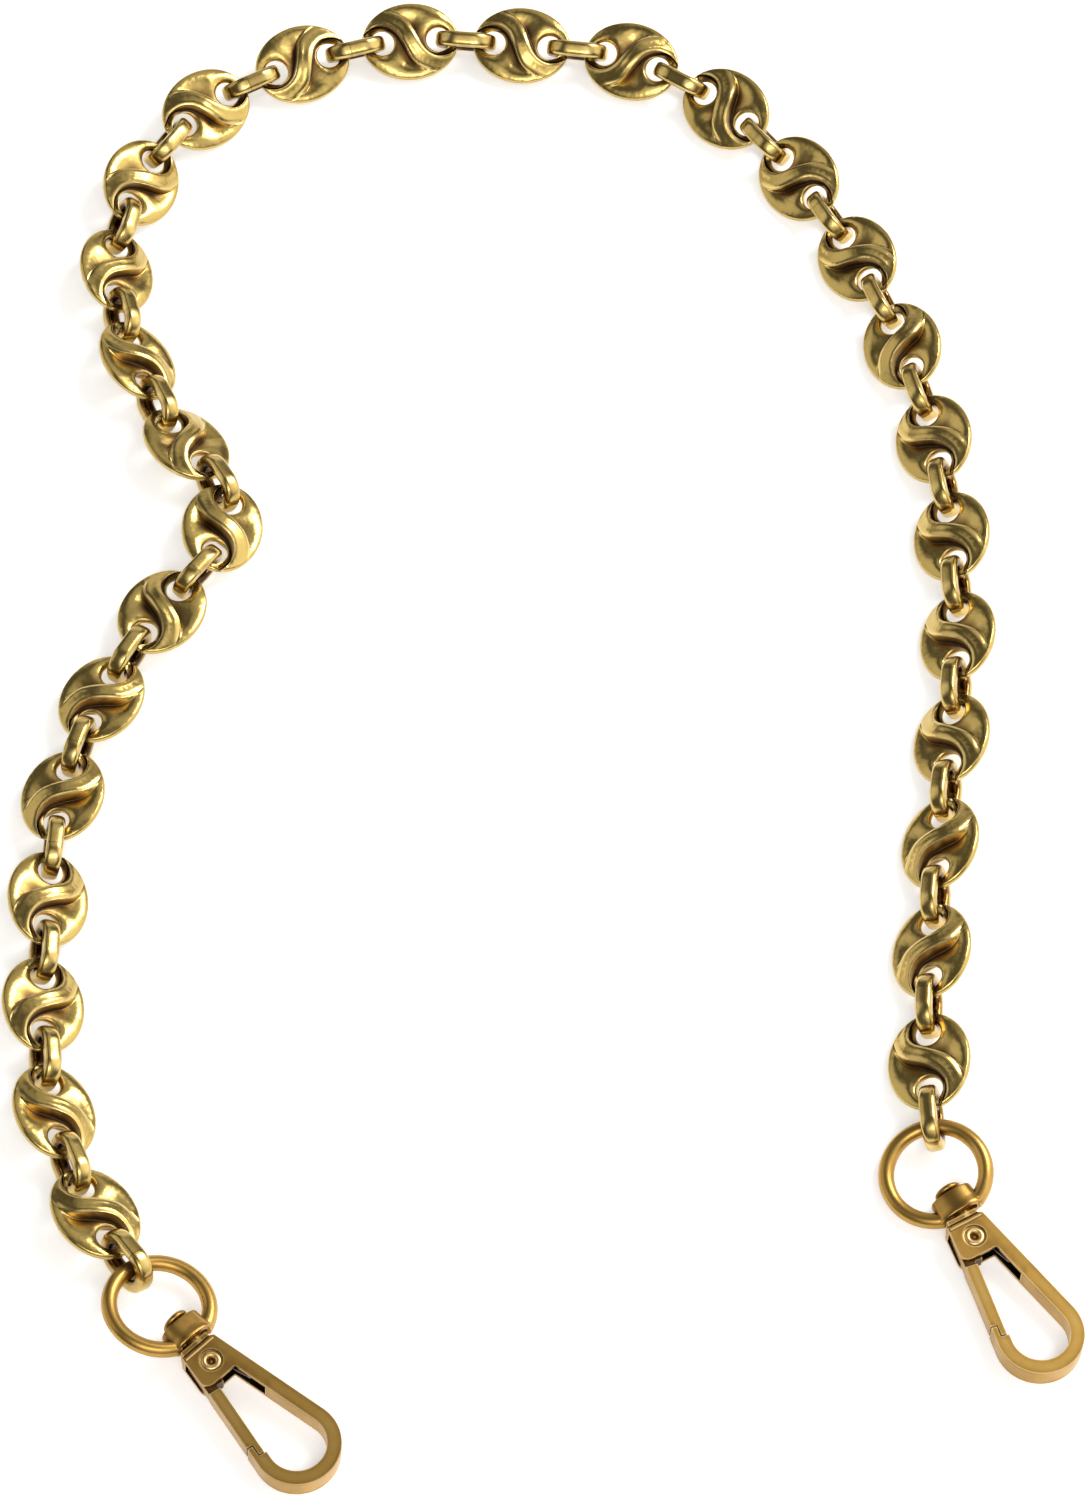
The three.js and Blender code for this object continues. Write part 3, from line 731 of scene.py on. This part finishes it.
def prism(outline, low, high):
    """A closed plate: the outline's points, in millimetres, between two heights."""
    count = len(outline)
    points = [(x, y, low) for x, y in outline] + [(x, y, high) for x, y in outline]
    faces = [tuple(reversed(range(count))), tuple(range(count, 2 * count))]
    for i in range(count):
        j = (i + 1) % count
        faces.append((i, j, count + j, count + i))
    return points, faces


def plug(low, high, radius, sides, axis="X"):
    """A plain round solid along an axis, for a hub or a bore."""
    return lathe([(low, 0), (low, radius), (high, radius), (high, 0)], sides, axis)


def lathe(profile, sides, axis="X", wide=1.0, high=1.0, squareness=1.0):
    """A solid turned about an axis from (along, radius) points, which start and end on the axis."""
    points, faces = [(profile[0][0], 0, 0)], []
    for along, radius in profile[1:-1]:
        for side in range(sides):
            turn = 2 * math.pi * side / sides
            c, s = math.cos(turn), math.sin(turn)
            y = wide * radius * math.copysign(abs(c) ** (1 / squareness), c)
            z = high * radius * math.copysign(abs(s) ** (1 / squareness), s)
            points.append((along, y, z))
    points.append((profile[-1][0], 0, 0))
    last, rings = len(points) - 1, len(profile) - 2
    for side in range(sides):
        after = (side + 1) % sides
        faces.append((0, 1 + after, 1 + side))
        faces.append((last, 1 + (rings - 1) * sides + side, 1 + (rings - 1) * sides + after))
        for ring in range(rings - 1):
            a = 1 + ring * sides
            faces.append((a + side, a + after, a + sides + after, a + sides + side))
    if axis == "Z":
        points = [(y, z, x) for x, y, z in points]
    return points, faces


def block(low, high):
    (x0, y0, z0), (x1, y1, z1) = low, high
    return prism([(x0, y0), (x1, y0), (x1, y1), (x0, y1)], z0, z1)


def loose(name, shape):
    """An object that is only there to be cut, or to cut another."""
    thing = bpy.data.objects.new(name, mesh_of(*shape))
    bpy.context.scene.collection.objects.link(thing)
    return thing


def carved(name, base, steps, bevel=0.0, shade=None):
    """A mesh made from a base solid by joining and cutting others, with its edges then rounded."""
    body = loose(name, base)
    others = []
    for operation, shape in steps:
        other = loose(name + "_tool", shape)
        others.append(other)
        modifier = body.modifiers.new(operation, "BOOLEAN")
        modifier.operation = operation
        modifier.solver = "EXACT"
        modifier.object = other
    if bevel:
        modifier = body.modifiers.new("bevel", "BEVEL")
        modifier.width = bevel
        modifier.segments = 3
        modifier.limit_method = "ANGLE"
        modifier.angle_limit = math.radians(32)
    graph = bpy.context.evaluated_depsgraph_get()
    mesh = bpy.data.meshes.new_from_object(body.evaluated_get(graph))
    for thing in [body, *others]:
        bpy.data.objects.remove(thing)
    # A value of painted shade or painted highlight for each face, kept on its corners for the material.
    if shade:
        values = []
        for polygon in mesh.polygons:
            values += [shade(polygon.center, polygon.normal)] * polygon.loop_total
        mesh.attributes.new("patina_and_painted_light", "FLOAT", "CORNER").data.foreach_set("value", values)
    return finished(mesh, name)


def finished(mesh, name):
    """Scales a mesh to metres, and gives it smooth shading that stays flat on its flat faces."""
    mesh.name = name
    mesh.transform(Matrix.Scale(MM, 4))
    mesh.polygons.foreach_set("use_smooth", [True] * len(mesh.polygons))
    mesh.set_sharp_from_angle(angle=math.radians(40))
    body = bpy.data.objects.new(name, mesh)
    bpy.context.scene.collection.objects.link(body)
    weighted = body.modifiers.new("weighted", "WEIGHTED_NORMAL")
    weighted.keep_sharp = True
    graph = bpy.context.evaluated_depsgraph_get()
    made = bpy.data.meshes.new_from_object(body.evaluated_get(graph))
    bpy.data.objects.remove(body)
    made.name = name
    return made


def arm_y(x, radius):
    """The arm's edge at x: the tangent to the circle of that radius about the bow's centre."""
    slope = math.radians(ARM_ANGLE)
    return BOW_Y + radius / math.cos(slope) - (BOW_X - x) * math.tan(slope)


def on_gate(x, y):
    """A point of the closed gate's own frame, in the hook's frame."""
    c, s = math.cos(math.radians(GATE_ANGLE)), math.sin(math.radians(GATE_ANGLE))
    return x * c - y * s, x * s + y * c


def hook_outline():
    arm, nose = 90 + ARM_ANGLE, GATE_ANGLE - 90
    turn = math.radians(GATE_ANGLE)
    middle = BOW_Y * math.cos(turn) - BOW_X * math.sin(turn)
    outer, inner = middle - BOW_OUTER, middle - BOW_INNER
    corner = SHOULDER_X + SHOULDER_CORNER
    points = [(SHOULDER_X, SHOULDER_LOW_Y)]
    points += arc(CHEEK_END_X - CHEEK_CORNER, CHEEK_SIDE_Y + CHEEK_CORNER, CHEEK_CORNER, -90, 0, 12)
    points += [(CHEEK_END_X, arm_y(CHEEK_END_X, BOW_INNER))]
    points += arc(BOW_X, BOW_Y, BOW_INNER, arm, nose, 64)
    points += [on_gate(NOSE_STEP, inner), on_gate(NOSE_STEP, outer + NOSE_TONGUE)]
    points += [on_gate(NOSE_START, outer + NOSE_TONGUE), on_gate(NOSE_START, outer)]
    points += arc(BOW_X, BOW_Y, BOW_OUTER, nose, arm, 72)
    points += [(corner, arm_y(corner, BOW_OUTER))]
    points += [(SHOULDER_X, arm_y(SHOULDER_X, BOW_OUTER) - SHOULDER_CORNER)]
    return points


def across_hook(outline):
    """A prism from an outline in the XZ plane, longer than the hook is wide."""
    points, faces = prism(outline, -THROUGH, THROUGH)
    return [(x, -z, y) for x, y, z in points], faces


def hook_painted_light(centre, normal):
    """Painted shade inside the channel and where the nose shuts on the gate, and a painted highlight on
    the bead.
    """
    if abs(centre.x - BEAD_X) < 0.35 and abs(centre.z) > HOOK_HALF_HEIGHT + TOUCH:
        return BEAD_PAINTED_HIGHLIGHT
    if abs(centre.z) < CHANNEL_HALF_HEIGHT + TOUCH and centre.x < RECESS_END_X + TOUCH:
        out = centre.y - arm_y(centre.x, BOW_INNER)
        deep = RECESS_DEPTH / 2 < out < RECESS_DEPTH + 0.1
        return 1.0 if deep or abs(normal.z) > 0.9 else 0.0
    turn = Matrix.Rotation(-math.radians(GATE_ANGLE), 3, "Z")
    place, facing = turn @ centre, turn @ normal
    shut = NOSE_START - 0.1 < place.x < NOSE_STEP + 0.1 and place.y < 0
    return 1.0 if shut and abs(normal.z) < 0.5 and (facing.x < -0.6 or facing.y > 0.6) else 0.0


def gate_painted_shade(centre, normal):
    """Painted shade on the ears and spine between the cheeks, and where the lip meets the nose."""
    if centre.x < GATE_BAR_X + 0.05:
        return 0.2 if normal.y < -0.6 else 0.85
    return 1.0 if centre.x > GATE_END - 0.1 and (normal.x > 0.6 or normal.y < -0.6) else 0.0


def hook_mesh():
    recess = BOW_INNER + RECESS_DEPTH
    channel = [
        (CHANNEL_BACK_X, CHEEK_SIDE_Y - 1), (RECESS_END_X, CHEEK_SIDE_Y - 1),
        (RECESS_END_X, arm_y(RECESS_END_X, recess)), (CHANNEL_BACK_X, arm_y(CHANNEL_BACK_X, recess)),
    ]
    top, floor = HOOK_HALF_HEIGHT + 1, HOOK_HALF_HEIGHT - COUNTERBORE_DEPTH
    swivel = plug(-6, 0, NECK_BORE, BORE_SIDES)
    cuts = [
        prism(channel, -CHANNEL_HALF_HEIGHT, CHANNEL_HALF_HEIGHT),
        plug(-top, top, PIN_BORE, BORE_SIDES, "Z"),
        plug(floor, top, COUNTERBORE, ROUND_SIDES, "Z"),
        plug(-top, -floor, COUNTERBORE, ROUND_SIDES, "Z"),
        across_hook(CHAMFER),
        across_hook([(x, -z) for x, z in reversed(CHAMFER)]),
        ([(x, y + SWIVEL_Y, z) for x, y, z in swivel[0]], swivel[1]),
    ]
    neck = block(
        (NECK_START, NECK_LOW_Y, -NECK_HALF_HEIGHT), (CHANNEL_BACK_X, NECK_HIGH_Y, NECK_HALF_HEIGHT))
    bead = plug(BEAD_START, BEAD_END, BEAD_RADIUS, 16)
    beads = []
    for face in (-1, 1):
        lift = face * (HOOK_HALF_HEIGHT - BEAD_DEPTH)
        points = [(BEAD_X - y, x, z + lift) for x, y, z in bead[0]]
        beads.append(("UNION", (points, bead[1])))
    steps = [("UNION", neck)] + [("DIFFERENCE", cut) for cut in cuts] + beads
    plate = prism(hook_outline(), -HOOK_HALF_HEIGHT, HOOK_HALF_HEIGHT)
    return carved("hook", plate, steps, HOOK_ROUND, hook_painted_light)


def gate_mesh():
    """Two ears round the pin, a spine between the cheeks, and the bar with its lip."""
    lip_y = GATE_INNER_Y - GATE_LIP
    bar = [(GATE_BAR_X, GATE_OUTER_Y), (GATE_END, GATE_OUTER_Y), (GATE_END, lip_y)]
    bar += [(GATE_LIP_END, lip_y), (GATE_LIP_END, GATE_INNER_Y), (GATE_BAR_X, GATE_INNER_Y)]
    steps = []
    for x, y, end_x, end_y in (
            (GATE_SPINE_START, GATE_OUTER_Y, GATE_STEM_END, GATE_SPINE_Y + 0.1),
            (0, GATE_SPINE_Y, GATE_STEM_END, GATE_INNER_Y - 0.1),
            (0, GATE_SPINE_Y, GATE_STEP_X, -0.1)):
        steps.append(("UNION", block((x, y, -GATE_EAR), (end_x, end_y, GATE_EAR))))
    steps += [
        ("UNION", plug(-GATE_EAR, GATE_EAR, GATE_HUB, ROUND_SIDES, "Z")),
        ("DIFFERENCE", block((-3, GATE_SPINE_Y, -GATE_SLOT), (3, 3, GATE_SLOT))),
        ("DIFFERENCE", plug(-4, 4, PIN_BORE, BORE_SIDES, "Z")),
    ]
    plate = prism(bar, -GATE_HALF_HEIGHT, GATE_HALF_HEIGHT)
    mesh = carved("gate", plate, steps, GATE_ROUND, gate_painted_shade)
    mesh.transform(Matrix.Rotation(math.radians(GATE_ANGLE), 4, "Z"))
    return mesh


def pin_mesh():
    """A semi-tubular rivet: both heads are rounded rings in their counterbores."""
    hollow = [(1.42, 0), (1.37, 0.16), (1.22, 0.32), (1.22, 0.5), (1.5, 0.64), (1.78, 0.74), (1.9, 0.88)]
    head = [(1.93, 1.1), (1.9, 1.32), (1.8, 1.5), (1.7, 1.56), (1.7, 0.8)]
    below = [(-1.7, 0.8), (-1.7, 1.56), (-1.8, 1.5), (-1.9, 1.32), (-1.93, 1.1), (-1.93, 0)]
    points, faces = lathe(list(reversed(hollow + head + below)), HEAD_SIDES, "Z")
    return finished(mesh_of(points, faces), "pin")


def post_mesh():
    """The swivel's rivet: a flat button head inside the eye, and a shank into the hook's neck."""
    head = [
        (-9.6, 0), (-9.6, 1.5), (-9.52, 1.86), (-9.3, 2.14), (-9.05, 2.24), (-8.8, 2.16), (-8.65, 1.95)]
    points, faces = lathe(head + [(-8.65, POST_RADIUS), (-2.7, POST_RADIUS), (-2.7, 0)], HEAD_SIDES)
    return finished(mesh_of(points, faces), "post")


def torus_arc(start, end, steps, sides):
    """The eye's round wire in the XY plane, closed at both ends."""
    points = []
    for step in range(steps + 1):
        turn = math.radians(start + (end - start) * step / steps)
        for side in range(sides):
            angle = 2 * math.pi * side / sides
            reach = EYE_RADIUS + EYE_WIRE * math.cos(angle)
            x, y = EYE_X + reach * math.cos(turn), reach * math.sin(turn)
            points.append((x, y, EYE_WIRE * math.sin(angle)))
    return points, [tuple(reversed(face)) for face in skin(steps, sides)]


def eye_mesh():
    """The eye's ring with its barrel collar, which is hollow towards the hook."""
    barrel = [
        (-8.4, 0), (-8.4, 0.88), (-8.3, 0.95), (-8.05, 0.98), (-6.4, 0.99), (-5.9, 1.01), (-5.3, 1.05),
        (-4.9, 1.06), (-4.74, 1.03), (-4.7, 0.98), (-4.7, 0),
    ]
    hollow = [(-5.7, 0), (-5.7, 0.6), (-5.5, 0.7), (-4, 0.8), (-4, 0)]
    steps = [
        ("UNION", lathe(barrel, 64, **COLLAR)),
        ("DIFFERENCE", lathe(hollow, ROUND_SIDES, **COLLAR)),
        ("DIFFERENCE", plug(-10, -5, COLLAR_BORE, BORE_SIDES)),
    ]
    return carved("eye", torus_arc(EYE_GAP, 360 - EYE_GAP, 72, 24), steps)


def tube(path, radius, sides):
    """A round wire along a path of points."""
    points = []
    for i, centre in enumerate(path):
        run = (path[min(i + 1, len(path) - 1)] - path[max(i - 1, 0)]).normalized()
        across = run.cross(UP).normalized()
        lift = across.cross(run)
        for side in range(sides):
            turn = 2 * math.pi * side / sides
            points.append(tuple(centre + (across * math.cos(turn) + lift * math.sin(turn)) * radius))
    return points, skin(len(path) - 1, sides)


def spring_mesh():
    """Two turns of wire round the pin, one leg in the arm's recess and one in the gate's slot."""
    centres = []
    for step in range(SPRING_STEPS + 1):
        share = step / SPRING_STEPS
        angle = SPRING_START - SPRING_WOUND * share
        x, y = SPRING_RADIUS * math.cos(angle), SPRING_RADIUS * math.sin(angle)
        centres.append(Vector((x, y, (share - 0.5) * SPRING_RISE)))
    end = SPRING_START - SPRING_WOUND
    first = Vector((math.sin(SPRING_START), -math.cos(SPRING_START), 0))
    last = Vector((math.sin(end), -math.cos(end), 0))
    path = [centres[0] + first * out for out in (6.2, 3, 1, 0.4)] + centres[1:-1]
    path += [centres[-1] + last * out for out in (0.2, 0.7, 1.2)]
    return finished(mesh_of(*tube(path, SPRING_WIRE, 10)), "spring")


def make_hooks():
    parts = [
        ("eye", eye_mesh(), "eye", "swivel_eye", "antique_brass"),
        ("post", post_mesh(), "hook", "swivel_post", "antique_brass"),
        ("hook", hook_mesh(), "hook", "hook_body", "antique_brass"),
        ("gate", gate_mesh(), "gate", "hook_gate", "antique_brass"),
        ("pin", pin_mesh(), "hook", "gate_pin", "antique_brass"),
        ("spring", spring_mesh(), "hook", "gate_spring", "spring_steel"),
    ]
    for _, mesh, _, _, slot in parts:
        mesh.materials.clear()
        mesh.materials.append(HOOK_MATERIAL if slot == "antique_brass" else SPRING_MATERIAL)
    for end in "ab":
        pin = JOINTS[f"gate_{end}_open"]
        x, z = Vector(JOINTS[f"hook_{end}_swivel"]["axis"]), Vector(pin["axis"])
        hook = matrix_of(Vector(pin["pos_m"]), x, z.cross(x), z)
        swivel = hook @ Matrix.Translation((0, SWIVEL_Y * MM, 0))
        eye = swivel @ Matrix.Rotation(math.radians(EYE_TURN[end]), 4, "X")
        places = {"eye": eye, "post": swivel}
        for name, mesh, body, node, slot in parts:
            matrix = places.get(name, hook)
            piece(f"{name}_{end}", mesh, matrix, f"{body}_{end}", slot, f"{node}_{end}")


make_chain()
make_hooks()

# ---- camera, light and floor ----

CAMERA_TARGET = Vector((1.79, -8.94, 0)) * MM
CAMERA_DISTANCE = 0.919
CAMERA_ELEVATION = math.radians(58)
CAMERA_LENS = 135.5
SENSOR_WIDTH = 36
FLOOR_SIZE = 6
WORLD_LEVEL = 0.1
WORLD_TINT = (1, 0.985, 0.96, 1)

# Soft patches of the surroundings: where each is, from which cosine it fades in to which it is
# full, and its strength.
SURROUNDINGS = [
    ((1, 0.1, 0.55), (0.72, 0.97), 1.5),
    ((0.1, -0.7, 0.8), (0.78, 0.97), 1.1),
    ((-1, 0.2, 0.5), (0.82, 0.97), 0.8),
    ((0, 1, 0.12), (0.85, 0.99), 0.9),
    ((0.2, 0.55, 0.85), (0.86, 0.99), 0.5),
]


def make_camera():
    data = bpy.data.cameras.new("camera")
    data.lens = CAMERA_LENS
    data.sensor_width = SENSOR_WIDTH
    camera = bpy.data.objects.new("camera", data)
    bpy.context.scene.collection.objects.link(camera)
    back = Vector((0, -math.cos(CAMERA_ELEVATION), math.sin(CAMERA_ELEVATION)))
    camera.location = CAMERA_TARGET + back * CAMERA_DISTANCE
    camera.rotation_euler = (math.pi / 2 - CAMERA_ELEVATION, 0, 0)
    bpy.context.scene.camera = camera


def area_light(name, place, size, power):
    data = bpy.data.lights.new(name, "AREA")
    data.shape = "RECTANGLE"
    data.size, data.size_y = size
    data.energy = power
    light = bpy.data.objects.new(name, data)
    bpy.context.scene.collection.objects.link(light)
    light.location = place
    aim = CAMERA_TARGET - light.location
    light.rotation_euler = aim.to_track_quat("-Z", "Y").to_euler()


def glow(nodes, links, direction, toward, narrow, strength):
    """One soft patch of the surroundings: bright where the direction nears its middle."""
    dot = nodes.new("ShaderNodeVectorMath")
    dot.operation = "DOT_PRODUCT"
    dot.inputs[1].default_value = Vector(toward).normalized()
    links.new(direction, dot.inputs[0])
    patch = remap(nodes, links, dot.outputs["Value"], *narrow)
    return maths(nodes, links, "MULTIPLY", patch, strength)


def make_studio():
    scene = bpy.context.scene
    scene.view_settings.view_transform = "Standard"
    world = bpy.data.worlds.new("studio")
    scene.world = world
    world.use_nodes = True
    nodes, links = world.node_tree.nodes, world.node_tree.links
    where = nodes.new("ShaderNodeTexCoord").outputs["Generated"]
    total = WORLD_LEVEL
    for toward, narrow, strength in SURROUNDINGS:
        total = maths(nodes, links, "ADD", glow(nodes, links, where, toward, narrow, strength), total)
    nodes["Background"].inputs["Color"].default_value = WORLD_TINT
    links.new(total, nodes["Background"].inputs["Strength"])
    area_light("key", (0.62, 0.4, 0.75), (0.35, 0.6), 6)
    area_light("front", (0.1, -0.75, 0.95), (0.7, 0.3), 3)
    bpy.ops.mesh.primitive_plane_add(size=FLOOR_SIZE)
    floor = bpy.context.object
    floor.name = "floor"
    floor.data.materials.append(material("floor_paper", paper))


def paper(_nodes, _links, shader):
    """The floor: plain, pale and lit a little from within, so that its far parts stay white."""
    shader.inputs["Base Color"].default_value = (0.9, 0.9, 0.9, 1)
    shader.inputs["Roughness"].default_value = 0.8
    shader.inputs["Emission Color"].default_value = (1, 1, 1, 1)
    shader.inputs["Emission Strength"].default_value = 0.42


make_camera()
make_studio()
